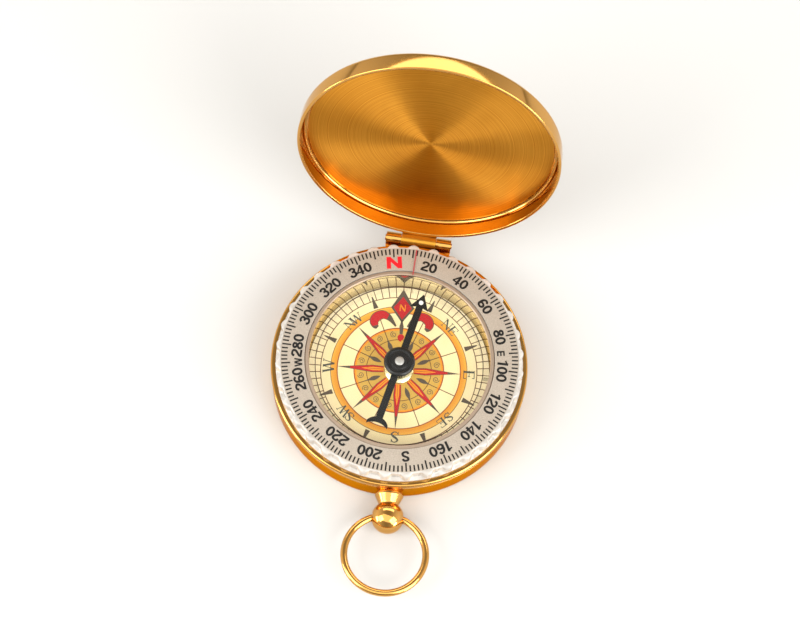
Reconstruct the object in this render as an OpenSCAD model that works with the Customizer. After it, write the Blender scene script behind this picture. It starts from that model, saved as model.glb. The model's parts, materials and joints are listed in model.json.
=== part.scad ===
// Brass pocket compass: a round case with a hinged flip lid, a clear ribbed
// bezel that turns a degree scale, a dial card under a window, a needle on a
// pivot, and a ball pendant that carries a bow ring.
//
// Millimetres. The origin is the centre of the flat underside, +Z is up and
// +Y points at the hinge. The lid is drawn open, on its stop. The bow ring
// stands a little above level, held by its friction in the pendant's ball.

/* [Case] */
// Diameter of the case wall
case_d = 50; // [48:0.5:58]
// Height of the case, from the underside to the top of the rim
case_h = 7.2; // [7.2:0.1:8.4]
// Radius of the case wall's bottom edge
case_round = 0.8; // [0.4:0.1:1]
// Height of the rim ring
rim_h = 1.2; // [1:0.1:1.2]
// Height of the turned groove under the rim ring
groove_h = 0.4; // [0.2:0.1:0.5]

/* [Lid] */
// Height of the lid
lid_h = 4.05; // [4.05:0.05:5]
// Thickness of the lid's wall
lid_wall = 0.7; // [0.5:0.05:0.8]
// Radius of the lid's outer edge
lid_round = 1.1; // [0.8:0.1:1.4]
// Angle between the closed and the open lid
lid_open = 102.5; // [95:0.5:105]

/* [Hinge] */
// Width over all the hinge's knuckles
hinge_w = 13; // [11:0.5:15]
// Width of the lid's middle knuckle
lid_knuckle_w = 6.9; // [5:0.1:7.5]
// Diameter of the knuckles
knuckle_d = 2.4; // [2.2:0.1:2.4]
// Diameter of the hinge pin
pin_d = 1.2; // [0.9:0.1:1.3]

/* [Bezel] */
// Height of the bezel above the rim
bezel_rise = 3; // [2.8:0.05:3]
// Number of grip ribs round the bezel
rib_count = 36; // [24:1:40]
// Radius of one rib
rib_r = 1.2; // [0.9:0.05:1.3]
// Turn of the degree scale from the hinge line, in degrees
scale_turn = 11.5; // [-180:0.5:180]

/* [Dial] */
// Depth of the dial's face below the rim
dial_drop = 4.06; // [3.9:0.02:4.2]
// Turn of the dial card from the hinge line, in degrees
dial_turn = 5; // [-180:0.5:180]

/* [Needle] */
// Length of the needle's north arm, from the pivot
north_arm = 15.1; // [12:0.1:15.6]
// Length of the needle's south arm, from the pivot
south_arm = 13; // [12:0.1:15.5]
// Width of the needle's arms
arm_w = 1.4; // [0.8:0.1:1.6]
// Turn of the needle from the hinge line, in degrees
needle_turn = -10.5; // [-180:0.5:180]

/* [Pendant] */
// Diameter of the pendant's ball
ball_d = 6.3; // [5.6:0.1:6.4]
// Diameter of the pendant's neck
neck_d = 4; // [3.6:0.1:4.6]
// Diameter of the pendant's flange
flange_d = 5.5; // [5:0.1:5.6]
// Distance from the case wall to the ball's centre
ball_reach = 5.1; // [5:0.1:6.5]
// Turn of the pendant from the line through the hinge, in degrees
pendant_turn = 4.3; // [-10:0.1:10]

/* [Bow ring] */
// Outer diameter of the bow ring
bow_d = 16.9; // [15:0.1:18]
// Diameter of the bow ring's wire
bow_wire = 1.35; // [1:0.05:1.4]
// Rise of the ring's far end above level, in degrees
bow_rise = 6.6; // [-9:0.2:60]

/* [Hidden] */
$fn = 96;

// Colours of the materials.
brass = "#d9a441";
pale_brass = "#e9cf86";
copper = "#c98d72";
clear_plastic = [0.9, 0.93, 0.93, 0.35];
scale_silver = "#cfc4b4";
card_cream = "#f3e9b4";
black_lacquer = "#161412";
dark_seal = "#3a2614";
steel = "#a9adb2";
red_lacquer = "#a3221c";
white_lume = "#e8eae4";

// Clearances: a gap that parts turn or slide in, and one that keeps faces apart.
run_gap = 0.08;
face_gap = 0.05;
cut = 1;

// Radii of the case, worked inwards from its wall.
case_r = case_d / 2;
rim_r = case_r + 0.1;
cavity_r = case_r - 1;
ledge_r = case_r - 2.8;
floor_t = 1;
groove_depth = 0.3;
rim_z = case_h;
rim_base_z = case_h - rim_h;
rim_bore_r = case_r - 1.25;
rim_round = 0.35;

// The bezel: ribs, foot and the recess that its scale lies in.
bezel_r = case_r - 0.9;
bezel_root_r = bezel_r - 0.7;
bezel_top_z = rim_z + bezel_rise;
bezel_foot_r = rim_bore_r - run_gap;
bezel_lip_r = cavity_r - run_gap;
bezel_lip_h = 0.45;
bezel_bore_r = case_r - 6.55;
bezel_foot_bore_r = case_r - 2.7;
bezel_plate_t = 1;
bezel_flange_h = 0.7;
scale_r = case_r - 1.9;
scale_t = 0.2;
scale_z = bezel_top_z - 0.05 - scale_t;
washer_t = 0.2;
ledge_z = 5.2;
washer_z = ledge_z;
foot_z = ledge_z + washer_t + face_gap;

// The dial's well, its window and what lies in it.
well_r = bezel_bore_r - 0.1;
well_bore_r = well_r - 0.45;
window_t = 0.6;
clamp_t = 0.35;
clamp_w = 0.75;
clamp_z = scale_z - 0.05 - clamp_t;
window_z = clamp_z - window_t;
dial_z = rim_z - dial_drop;
card_t = 0.2;
plate_t = 0.64;
plate_z = dial_z - card_t - plate_t;
retainer_h = 3.25;
retainer_w = 1.4;
band_t = 0.15;
band_h = 0.3;

// The index pointer reaches from the window's clamp over the scale.
pointer_w = 0.2;
pointer_t = 0.15;
pointer_z = bezel_top_z;
pointer_tip_r = scale_r - 0.15;
pointer_foot_r = well_r - clamp_w + 0.1;
pointer_foot_l = 0.55;

// The needle and its pivot.
blade_t = 0.2;
blade_z = dial_z + 4.4;
hub_r = 3.1;
hub_t = 0.7;
hub_z = blade_z + blade_t;
jewel_r = 0.9;
jewel_cap = 0.25;
post_r = 0.35;
post_foot_r = 2;
cup_z = hub_z + 0.3;
cup_cone_h = 0.8;
boss_r = 2.9;
boss_h = 0.75;
dot_r = 0.45;
dot_from_tip = 1.9;
dot_t = 0.08;

// The hinge. The lid's parts are drawn shut and then swung open on its axis.
hinge_y = case_r + 1.4;
hinge_z = rim_z - 0.55;
knuckle_r = knuckle_d / 2;
leaf_t = 1.2;
leaf_z = 1.6;
arm_z = 4.2;
lid_leaf_t = 0.8;
lid_leaf_top = rim_z + 2.9;
heel_h = 0.8;
pin_overhang = 0.2;

// The lid, shut.
lid_r = case_r + 0.2;
lid_z = rim_z + face_gap;
lid_top_t = 0.5;
liner_t = 0.2;
liner_r = lid_r - 1.6;

// The pendant and the bow ring. The ring's curve has some sag inside the
// ball, so the hole is wider than the wire and its axis splits that sag.
pendant_z = ball_d / 2 + 0.05;
ball_r = ball_d / 2;
ball_y = -(case_r + ball_reach);
flange_t = 0.9;
cove_l = 1.6;
stud_r = 1;
nut_flats = 3.2;
nut_t = 1.2;
bow_r = (bow_d - bow_wire) / 2;
bow_sag = bow_r - sqrt(bow_r * bow_r - ball_r * ball_r);
bow_hole_r = (bow_wire + bow_sag) / 2 + run_gap;

// A ring between two radii, standing on z.
module ring(outer, inner, z, h) {
    translate([0, 0, z])
        difference() {
            cylinder(r = outer, h = h);
            translate([0, 0, -cut]) cylinder(r = inner, h = h + 2 * cut);
        }
}

// Half of a disc's section with its outer top corner rounded.
module round_top_section(r, h, corner) {
    square([r - corner, h]);
    square([r, h - corner]);
    translate([r - corner, h - corner]) circle(corner, $fn = 48);
}

// A straight round bar along X, centred on X.
module cross_bar(r, length) {
    rotate([0, 90, 0]) cylinder(r = r, h = length, center = true);
}

// Carries what is drawn in the shut lid's place to the open lid's place.
module swung_open() {
    translate([0, hinge_y, hinge_z])
        rotate([-lid_open, 0, 0])
            translate([0, -hinge_y, -hinge_z])
                children();
}

// Turns the pendant's parts to their place beside the line through the hinge.
module beside_hinge_line() {
    rotate([0, 0, pendant_turn]) children();
}

// The turned bowl: a thick wall with a ledge for the bezel's washer, a flat
// floor, a groove under the rim ring and a hole for the pendant's stud.
module case_shell() {
    bowl_h = rim_base_z;
    color(brass)
        difference() {
            rotate_extrude()
                difference() {
                    translate([0, bowl_h])
                        mirror([0, 1])
                            round_top_section(case_r, bowl_h, case_round);
                    translate([0, floor_t]) square([ledge_r, bowl_h]);
                    translate([0, ledge_z]) square([cavity_r, bowl_h]);
                    translate([case_r - groove_depth, bowl_h - groove_h])
                        square([1, groove_h + cut]);
                }
            beside_hinge_line()
                translate([0, -case_r, pendant_z])
                    rotate([90, 0, 0])
                        cylinder(r = stud_r, h = 10, center = true);
        }
}

// The bright band that the lid shuts on and that keeps the bezel down.
module rim_ring() {
    band_w = rim_r - rim_bore_r;
    color(brass)
        rotate_extrude()
            translate([0, rim_base_z])
                difference() {
                    round_top_section(rim_r, rim_h, rim_round);
                    translate([0, -cut]) square([rim_r - band_w, rim_h + 2 * cut]);
                }
}

// Spring washer that gives the bezel its drag.
module bezel_washer() {
    color(steel)
        ring(cavity_r - 0.2, ledge_r + 0.2, washer_z, washer_t);
}

// Polished tube that stands on the floor, seats the dial and the window.
module dial_well() {
    seat_w = 1;
    color(pale_brass)
        difference() {
            ring(well_r, well_bore_r - seat_w, floor_t, window_z - floor_t);
            translate([0, 0, plate_z])
                cylinder(r = well_bore_r, h = window_z);
        }
}

// Metal plate under the card, with a hole for the pivot.
module dial_plate() {
    color(pale_brass)
        ring(well_bore_r - face_gap, post_r, plate_z, plate_t);
}

// Printed card.
module dial_card() {
    color(card_cream)
        rotate([0, 0, dial_turn])
            ring(well_bore_r - face_gap, post_r, plate_z + plate_t, card_t);
}

// Clear ring that stands on the card and holds it down.
module dial_retainer() {
    color(clear_plastic)
        ring(well_bore_r - face_gap, well_bore_r - retainer_w, dial_z, retainer_h);
}

// Thin dark band round the clear ring's inner top edge.
module retainer_band() {
    inner = well_bore_r - retainer_w;
    color(dark_seal)
        ring(inner, inner - band_t, dial_z + retainer_h - band_h, band_h);
}

// Glass over the dial, seated on the well.
module window() {
    color(clear_plastic)
        translate([0, 0, window_z])
            cylinder(r = well_r - 0.05, h = window_t);
}

// Copper-coloured ring that holds the window down.
module window_clamp() {
    color(copper) ring(well_r, well_r - clamp_w, clamp_z, clamp_t);
}

// Fixed hairline that the turning scale is read against.
module index_pointer() {
    foot_h = pointer_z + pointer_t - clamp_z - clamp_t;
    color(red_lacquer) {
        translate([-pointer_w / 2, pointer_foot_r, pointer_z])
            cube([pointer_w, pointer_tip_r - pointer_foot_r, pointer_t]);
        translate([-pointer_w / 2, pointer_foot_r, clamp_z + clamp_t])
            cube([pointer_w, pointer_foot_l, foot_h]);
    }
}

// Domed boss on the card, round the post.
module pivot_boss() {
    dome_r = (boss_r * boss_r + boss_h * boss_h) / (2 * boss_h);
    color(pale_brass)
        difference() {
            translate([0, 0, dial_z + boss_h - dome_r]) sphere(r = dome_r, $fn = 128);
            translate([0, 0, dial_z - 2 * dome_r])
                cylinder(r = 2 * dome_r, h = 2 * dome_r);
            cylinder(r = post_r, h = 3 * dome_r);
        }
}

// Post with a needle-sharp point that the needle turns on.
module pivot_post() {
    point_z = cup_z - face_gap;
    cone_z = cup_z - cup_cone_h;
    color(steel) {
        translate([0, 0, floor_t]) cylinder(r = post_foot_r, h = plate_z - floor_t);
        translate([0, 0, plate_z - 0.1]) cylinder(r = post_r, h = cone_z - plate_z + 0.1);
        translate([0, 0, cone_z])
            cylinder(r1 = post_r, r2 = 0.04, h = point_z - cone_z);
    }
}

// Leaf soldered to the case wall, with two knuckles on arms.
module case_hinge_leaf() {
    gap_w = lid_knuckle_w + 2 * face_gap;
    ear_w = (hinge_w - gap_w) / 2;
    color(brass)
        difference() {
            union() {
                intersection() {
                    translate([-hinge_w / 2, 0, leaf_z])
                        cube([hinge_w, 2 * case_r, arm_z + 1.1 - leaf_z]);
                    cylinder(r = case_r + leaf_t, h = case_h);
                }
                for (side = [-1, 1])
                    translate([side * (gap_w + ear_w) / 2, 0, 0]) hinge_ear(ear_w);
            }
            translate([0, 0, -cut]) cylinder(r = case_r, h = case_h);
            translate([0, 0, rim_base_z]) cylinder(r = rim_r, h = case_h);
            translate([0, hinge_y, hinge_z]) cross_bar(pin_d / 2, 2 * hinge_w);
        }
}

// One knuckle with the arm under it.
module hinge_ear(width) {
    rear = [hinge_y + knuckle_r * cos(40), hinge_z - knuckle_r * sin(40)];
    translate([0, hinge_y, hinge_z]) cross_bar(knuckle_r, width);
    translate([-width / 2, 0, 0])
        rotate([90, 0, 90])
            linear_extrude(width)
                polygon([
                    [hinge_y - knuckle_r, hinge_z], [hinge_y - knuckle_r, arm_z],
                    [case_r + leaf_t, arm_z], rear
                ]);
}

// Pin through all the knuckles.
module hinge_pin() {
    color(brass)
        translate([0, hinge_y, hinge_z])
            cross_bar(pin_d / 2, hinge_w + 2 * pin_overhang);
}

// Flange, neck, pierced ball and the stud that goes through the case wall.
module pendant() {
    stud_l = case_r - ledge_r + nut_t + 0.3;
    color(brass)
        difference() {
            union() {
                translate([0, ball_y, pendant_z]) rotate([0, 90, 0]) sphere(r = ball_r);
                translate([0, 0, pendant_z]) {
                    outward(case_r - 0.8, flange_t + 0.8) circle(flange_d / 2);
                    outward(case_r + 0.2, ball_reach - 2) circle(neck_d / 2);
                    translate([0, -case_r - flange_t, 0])
                        rotate([90, 0, 0])
                            cylinder(r1 = flange_d / 2, r2 = neck_d / 2, h = cove_l);
                }
            }
            translate([0, 0, -cut]) cylinder(r = case_r, h = case_h);
            translate([0, ball_y, pendant_z]) cross_bar(bow_hole_r, 2 * ball_d);
        }
    color(brass)
        translate([0, 0, pendant_z])
            outward(case_r - stud_l, stud_l + 0.5) circle(stud_r);
}

// A bar of the drawn section that runs outward, away from the hinge.
module outward(start, length) {
    translate([0, -start, 0]) rotate([90, 0, 0]) linear_extrude(length) children();
}

// Nut on the stud, inside the case. Its face is cut to the wall's curve.
module pendant_nut() {
    color(steel)
        difference() {
            translate([0, -(ledge_r - nut_t), pendant_z])
                rotate([90, 0, 0])
                    cylinder(d = nut_flats / cos(30), h = 2 * nut_t, $fn = 6);
            difference() {
                translate([0, 0, -cut]) cylinder(r = case_r + cut, h = case_h);
                translate([0, 0, -2 * cut]) cylinder(r = ledge_r, h = 2 * case_h);
            }
            translate([0, -ledge_r, pendant_z])
                rotate([90, 0, 0]) cylinder(r = stud_r, h = 4 * nut_t, center = true);
        }
}

// Shallow spun lid with a rounded edge.
module lid_shell() {
    color(brass)
        swung_open()
            translate([0, 0, lid_z])
                rotate_extrude()
                    difference() {
                        round_top_section(lid_r, lid_h, lid_round);
                        translate([0, -cut])
                            round_top_section(lid_r - lid_wall, lid_h - lid_top_t + cut,
                                              lid_round - lid_wall + 0.3);
                    }
}

// Brushed disc pressed against the lid's inside.
module lid_liner() {
    color(pale_brass)
        swung_open()
            translate([0, 0, lid_z + lid_h - lid_top_t - liner_t])
                cylinder(r = liner_r, h = liner_t);
}

// Leaf on the lid's wall, with the middle knuckle and the heel that stops it.
module lid_hinge_leaf() {
    front = hinge_y - knuckle_r;
    rear = [hinge_y + knuckle_r * cos(50), hinge_z + knuckle_r * sin(50)];
    leaf_r = lid_r + lid_leaf_t;
    color(brass)
        difference() {
            union() {
                swung_open()
                    difference() {
                        union() {
                            translate([0, hinge_y, hinge_z])
                                cross_bar(knuckle_r, lid_knuckle_w);
                            translate([-lid_knuckle_w / 2, 0, 0])
                                rotate([90, 0, 90])
                                    linear_extrude(lid_knuckle_w)
                                        polygon([
                                            [front, hinge_z], rear,
                                            [leaf_r, rim_z + 1], [front, rim_z + 1]
                                        ]);
                            intersection() {
                                translate([-lid_knuckle_w / 2, 0, rim_z + 0.5])
                                    cube([lid_knuckle_w, 2 * case_r,
                                          lid_leaf_top - rim_z - 0.5]);
                                cylinder(r = leaf_r, h = 2 * case_h);
                            }
                        }
                        translate([0, 0, lid_z]) cylinder(r = lid_r, h = case_h);
                    }
                translate([-lid_knuckle_w / 2, case_r + leaf_t + face_gap,
                           hinge_z - knuckle_r - heel_h])
                    cube([lid_knuckle_w, 1, heel_h + knuckle_r]);
            }
            translate([0, hinge_y, hinge_z]) cross_bar(pin_d / 2 + face_gap, 2 * hinge_w);
        }
}

// Clear ring: ribbed wall, top plate, and a foot that snaps under the rim.
module bezel_ring() {
    color(clear_plastic)
        rotate([0, 0, scale_turn])
            difference() {
                union() {
                    translate([0, 0, rim_z + face_gap])
                        linear_extrude(bezel_rise - face_gap) {
                            circle(bezel_root_r);
                            for (k = [0:rib_count - 1])
                                rotate(k * 360 / rib_count)
                                    translate([bezel_r - rib_r, 0]) circle(rib_r, $fn = 32);
                        }
                    translate([0, 0, rim_z + face_gap])
                        cylinder(r = bezel_r, h = bezel_flange_h);
                    translate([0, 0, foot_z])
                        cylinder(r = bezel_foot_r, h = rim_z - foot_z + 0.5);
                    translate([0, 0, foot_z]) cylinder(r = bezel_lip_r, h = bezel_lip_h);
                }
                cylinder(r = bezel_bore_r, h = 2 * case_h);
                cylinder(r = bezel_foot_bore_r, h = scale_z - bezel_plate_t);
                translate([0, 0, scale_z]) cylinder(r = scale_r, h = case_h);
            }
}

// Printed scale, laid in the bezel's top.
module degree_ring() {
    color(scale_silver)
        rotate([0, 0, scale_turn])
            ring(scale_r, bezel_bore_r, scale_z, scale_t);
}

// Outline of the needle: an arrowhead, two arms, a hub disc and a crescent.
module needle_outline() {
    head_w = 3.7;
    head_l = 3.2;
    barb = 0.5;
    horn_w = 4.2;
    horn_t = 1.1;
    horn_outer_r = 2.4;
    horn_inner_r = 3.2;
    horn_y = horn_t - south_arm;
    translate([-arm_w / 2, -south_arm + 0.3])
        square([arm_w, south_arm + north_arm - head_l + 0.3]);
    translate([0, north_arm])
        polygon([
            [0, 0], [-head_w / 2, -head_l],
            [0, -head_l + barb], [head_w / 2, -head_l]
        ]);
    circle(hub_r - 0.6);
    intersection() {
        translate([-horn_w / 2, horn_y - horn_outer_r])
            square([horn_w, horn_outer_r]);
        difference() {
            translate([0, horn_y - horn_outer_r]) circle(horn_outer_r);
            translate([0, -south_arm - horn_inner_r]) circle(horn_inner_r);
        }
    }
}

module needle_blade() {
    color(black_lacquer)
        rotate([0, 0, needle_turn])
            translate([0, 0, blade_z])
                difference() {
                    linear_extrude(blade_t) needle_outline();
                    translate([0, 0, -cut]) cylinder(r = jewel_r, h = 3 * cut);
                }
}

// Cap over the needle's middle, with a turned groove.
module needle_hub() {
    groove_r = 1.9;
    groove_w = 0.5;
    groove_cut = 0.2;
    color(black_lacquer)
        difference() {
            translate([0, 0, hub_z])
                rotate_extrude() round_top_section(hub_r, hub_t, 0.2);
            ring(groove_r + groove_w / 2, groove_r - groove_w / 2,
                 hub_z + hub_t - groove_cut, cut);
            translate([0, 0, hub_z - cut]) cylinder(r = jewel_r, h = hub_t + 2 * cut);
        }
}

// Bearing that sits on the post's point, with a low dome on top.
module needle_jewel() {
    dome_r = (jewel_r * jewel_r + jewel_cap * jewel_cap) / (2 * jewel_cap);
    top_z = hub_z + hub_t;
    skirt_z = blade_z - 0.2;
    color(steel)
        difference() {
            union() {
                translate([0, 0, skirt_z]) cylinder(r = jewel_r, h = top_z - skirt_z);
                intersection() {
                    translate([0, 0, top_z + jewel_cap - dome_r])
                        sphere(r = dome_r, $fn = 128);
                    translate([0, 0, top_z - 0.05]) cylinder(r = jewel_r, h = cut);
                }
            }
            translate([0, 0, cup_z - cup_cone_h])
                cylinder(r1 = post_r + run_gap, r2 = run_gap, h = cup_cone_h);
            translate([0, 0, skirt_z - cut])
                cylinder(r = post_r + run_gap, h = cup_z - cup_cone_h - skirt_z + cut);
        }
}

// Luminous dot on the arrowhead.
module needle_dot() {
    color(white_lume)
        rotate([0, 0, needle_turn])
            translate([0, north_arm - dot_from_tip, blade_z + blade_t])
                cylinder(r = dot_r, h = dot_t);
}

// Wire ring through the ball, a little above level.
module bow_ring() {
    color(brass)
        translate([0, ball_y, pendant_z])
            rotate([-bow_rise, 0, 0])
                translate([0, -(bow_r - bow_sag / 2), 0])
                    rotate_extrude()
                        translate([bow_r, 0]) circle(bow_wire / 2, $fn = 32);
}

case_shell();
rim_ring();
bezel_washer();
dial_well();
dial_plate();
dial_card();
dial_retainer();
retainer_band();
window();
window_clamp();
index_pointer();
pivot_boss();
pivot_post();
case_hinge_leaf();
hinge_pin();
beside_hinge_line() pendant();
beside_hinge_line() pendant_nut();
lid_shell();
lid_liner();
lid_hinge_leaf();
bezel_ring();
degree_ring();
needle_blade();
needle_hub();
needle_jewel();
needle_dot();
beside_hinge_line() bow_ring();
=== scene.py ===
# Looks of the brass pocket compass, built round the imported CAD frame.
# Sizes are in millimetres in the CAD's own frame, and MM turns them to metres.
import json
import math

import bmesh
import bpy
from mathutils import Matrix, Vector


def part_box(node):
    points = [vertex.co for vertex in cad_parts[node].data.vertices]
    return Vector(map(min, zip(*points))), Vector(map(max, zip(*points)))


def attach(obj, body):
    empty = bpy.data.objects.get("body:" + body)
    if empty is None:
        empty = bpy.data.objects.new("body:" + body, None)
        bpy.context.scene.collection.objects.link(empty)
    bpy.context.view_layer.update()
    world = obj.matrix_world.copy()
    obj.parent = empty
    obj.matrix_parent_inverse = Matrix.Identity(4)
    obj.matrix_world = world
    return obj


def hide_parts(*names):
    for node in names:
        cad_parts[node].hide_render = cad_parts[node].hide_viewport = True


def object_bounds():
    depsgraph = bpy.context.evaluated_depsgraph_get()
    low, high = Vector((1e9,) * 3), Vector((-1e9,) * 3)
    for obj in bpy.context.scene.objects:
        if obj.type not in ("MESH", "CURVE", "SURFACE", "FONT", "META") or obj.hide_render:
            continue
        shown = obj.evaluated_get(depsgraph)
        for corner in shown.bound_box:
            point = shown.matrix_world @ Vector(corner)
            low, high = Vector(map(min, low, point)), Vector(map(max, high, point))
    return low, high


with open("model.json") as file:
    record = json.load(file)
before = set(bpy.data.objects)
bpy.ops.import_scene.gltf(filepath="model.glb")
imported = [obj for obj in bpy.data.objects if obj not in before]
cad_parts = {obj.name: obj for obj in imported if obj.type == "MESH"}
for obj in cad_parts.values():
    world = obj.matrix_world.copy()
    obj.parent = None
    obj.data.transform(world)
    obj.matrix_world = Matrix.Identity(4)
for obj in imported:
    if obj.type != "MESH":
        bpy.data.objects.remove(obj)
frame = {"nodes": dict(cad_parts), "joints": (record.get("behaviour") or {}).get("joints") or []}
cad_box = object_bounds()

MM = 0.001


def reach(node):
    """(lowest corner, highest corner) of a CAD node, in millimetres."""
    low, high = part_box(node)
    return low / MM, high / MM


def joint(name):
    return next(j for j in frame["joints"] if j["name"] == name)


# Sizes read from the frame.
CASE_HIGH = reach("case_shell")[1]
RIM_LOW, RIM_HIGH = reach("rim_ring")
SCALE_LOW, SCALE_HIGH = reach("degree_ring")
BEZEL_LOW, BEZEL_HIGH = reach("bezel_ring")
WELL_LOW, WELL_HIGH = reach("dial_well")
CARD_LOW, CARD_HIGH = reach("dial_card")
WINDOW_LOW, WINDOW_HIGH = reach("window")
CLAMP_LOW, CLAMP_HIGH = reach("window_clamp")
BAND_LOW, BAND_HIGH = reach("retainer_band")
HUB_LOW, HUB_HIGH = reach("needle_hub")
JEWEL_HIGH = reach("needle_jewel")[1]
BOSS_HIGH = reach("pivot_boss")[1]
CASE_R = CASE_HIGH.x
RIM_R = RIM_HIGH.x
RIM_Z = RIM_HIGH.z
CARD_R = CARD_HIGH.x
DIAL_Z = CARD_HIGH.z
HINGE = Vector(joint("lid_hinge")["pos_m"]) / MM
BALL = Vector(joint("bow_swing")["pos_m"]) / MM
LID_OPEN = joint("lid_hinge")["range_deg"][1]

# Turns about the dial's centre, from the hinge line, anticlockwise.
SCALE_TURN = 11.5
DIAL_TURN = 5.0

# Faces round a turned piece, the thickness of a coat of ink, and how much higher each
# stroke of a letter stands than the one before, so that their tops don't coincide.
SEGMENTS = 256
INK = 0.012
STROKE_STEP = 0.001


# ---------------------------------------------------------------- geometry

def polar(radius, bearing):
    """A point at a compass bearing: 0 is +Y and 90 is +X."""
    a = math.radians(bearing)
    return Vector((radius * math.sin(a), radius * math.cos(a)))


def rounded(corners, steps=6):
    """The closed outline through (x, y, radius) corners, with each corner rounded."""
    outline = []
    for k, (x, y, radius) in enumerate(corners):
        here = Vector((x, y))
        if radius == 0:
            outline.append(here)
            continue
        before = (Vector(corners[k - 1][:2]) - here).normalized()
        after = (Vector(corners[(k + 1) % len(corners)][:2]) - here).normalized()
        half = before.angle(after) / 2
        centre = here + (before + after).normalized() * (radius / math.sin(half))
        start = here + before * (radius / math.tan(half)) - centre
        end = here + after * (radius / math.tan(half)) - centre
        first = math.atan2(start.y, start.x)
        sweep = math.remainder(math.atan2(end.y, end.x) - first, math.tau)
        for s in range(steps + 1):
            a = first + sweep * s / steps
            outline.append(centre + Vector((math.cos(a), math.sin(a))) * radius)
    return outline


def smooth(points):
    """A curve through the points. A point may carry a width as its third number."""
    steps = 6
    points = [Vector(p) for p in points]
    padded = [2 * points[0] - points[1], *points, 2 * points[-1] - points[-2]]
    curve = []
    for p, q, r, s in zip(padded, padded[1:], padded[2:], padded[3:]):
        for k in range(steps):
            t = k / steps
            curve.append(0.5 * (2 * q + (r - p) * t + (2 * p - 5 * q + 4 * r - s) * t ** 2
                                + (3 * q - p - 3 * r + s) * t ** 3))
    return [*curve, points[-1]]


def ribbon(points):
    """The outline of a stroke whose points are (x, y, width)."""
    left, right = [], []
    for k, (x, y, width) in enumerate(points):
        before = Vector(points[max(k - 1, 0)][:2])
        after = Vector(points[min(k + 1, len(points) - 1)][:2])
        along = (after - before).normalized()
        side = Vector((-along.y, along.x)) * max(width, 0.01) / 2
        left.append(Vector((x, y)) + side)
        right.append(Vector((x, y)) - side)
    return right + left[::-1]


def line(start, end, width):
    """The outline of a straight stroke."""
    return ribbon([(*start, width), (*end, width)])


def turned(outline, bearing, radius=0.0):
    """An outline drawn upright at the origin, moved out to a radius on a bearing."""
    a = math.radians(bearing)
    out = Vector((math.sin(a), math.cos(a)))
    across = Vector((math.cos(a), -math.sin(a)))
    return [across * p[0] + out * (p[1] + radius) for p in outline]


def mirrored(outline):
    return [Vector((-p[0], p[1])) for p in outline][::-1]


def prism(bm, outline, low, high):
    """A closed prism on a flat outline."""
    area = sum(a[0] * b[1] - b[0] * a[1]
               for a, b in zip(outline, [*outline[1:], outline[0]]))
    points = list(outline) if area > 0 else list(outline)[::-1]
    bottom = [bm.verts.new((p[0], p[1], low)) for p in points]
    top = [bm.verts.new((p[0], p[1], high)) for p in points]
    bm.faces.new(bottom[::-1])
    bm.faces.new(top)
    for k in range(len(points)):
        n = (k + 1) % len(points)
        bm.faces.new((bottom[k], bottom[n], top[n], top[k]))


def lathe(bm, profile, segments=SEGMENTS, swell=None):
    """A closed (radius, height) profile turned about Z. swell(k, angle) adds to radius k."""
    area = sum(a[0] * b[1] - b[0] * a[1]
               for a, b in zip(profile, [*profile[1:], profile[0]]))
    points = list(profile) if area > 0 else list(profile)[::-1]
    rings = []
    for s in range(segments):
        angle = math.tau * s / segments
        ring = []
        for k, (radius, height) in enumerate(points):
            r = radius + (swell(k, angle) if swell else 0.0)
            ring.append(bm.verts.new((r * math.cos(angle), r * math.sin(angle), height)))
        rings.append(ring)
    for s in range(segments):
        here, after = rings[s], rings[(s + 1) % segments]
        for k in range(len(points)):
            n = (k + 1) % len(points)
            if points[k][0] == 0 and points[n][0] == 0:
                continue
            bm.faces.new((here[k], after[k], after[n], here[n]))
    bmesh.ops.remove_doubles(bm, verts=bm.verts, dist=1e-5)


def disc_ring(bm, inner, outer, low, high):
    """A flat ring."""
    lathe(bm, [(inner, low), (outer, low), (outer, high), (inner, high)])


def piece(name, draw, material, body, replaces=(), place=None, own_axis=False,
          sharp=40):
    """One piece: draw(bm) makes it in millimetres, and place carries it to its spot.

    own_axis keeps its mesh in its own axes, for a material that turns about its own Z.
    """
    bm = bmesh.new()
    draw(bm)
    mesh = bpy.data.meshes.new(name)
    bm.to_mesh(mesh)
    bm.free()
    if place is not None and not own_axis:
        mesh.transform(place)
    mesh.transform(Matrix.Scale(MM, 4))
    mesh.shade_smooth()
    mesh.set_sharp_from_angle(angle=math.radians(sharp))
    mesh.materials.append(material)
    obj = bpy.data.objects.new(name, mesh)
    bpy.context.scene.collection.objects.link(obj)
    if place is not None and own_axis:
        shift = place.translation * MM
        obj.matrix_world = Matrix.Translation(shift) @ place.to_3x3().to_4x4()
    if replaces:
        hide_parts(*replaces)
    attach(obj, body)
    return obj


def keep_node(name, material, bevel=0.0):
    """A CAD node that stays, with a new material and softened edges."""
    node = frame["nodes"][name]
    node.data.materials.clear()
    node.data.materials.append(material)
    if bevel:
        edge = node.modifiers.new("edge", "BEVEL")
        edge.width = bevel * MM
        edge.segments = 3
        edge.limit_method = "ANGLE"
        edge.angle_limit = math.radians(35)
        edge.use_clamp_overlap = True


# ---------------------------------------------------------------- materials

def add(tree, kind, inputs=None, **settings):
    """A shader node. An input takes a value or another node's output."""
    node = tree.nodes.new(kind)
    for key, value in settings.items():
        setattr(node, key, value)
    for key, value in (inputs or {}).items():
        if isinstance(value, bpy.types.NodeSocket):
            tree.links.new(value, node.inputs[key])
        else:
            node.inputs[key].default_value = value
    return node


def shader(name):
    material = bpy.data.materials.new(name)
    material.use_nodes = True
    tree = material.node_tree
    return material, tree, tree.nodes["Principled BSDF"]


def rgb(red, green, blue):
    """A display colour, 0 to 255, as the linear colour that nodes take."""
    def linear(c):
        c /= 255
        return c / 12.92 if c <= 0.04045 else ((c + 0.055) / 1.055) ** 2.4
    return linear(red), linear(green), linear(blue), 1.0


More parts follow.
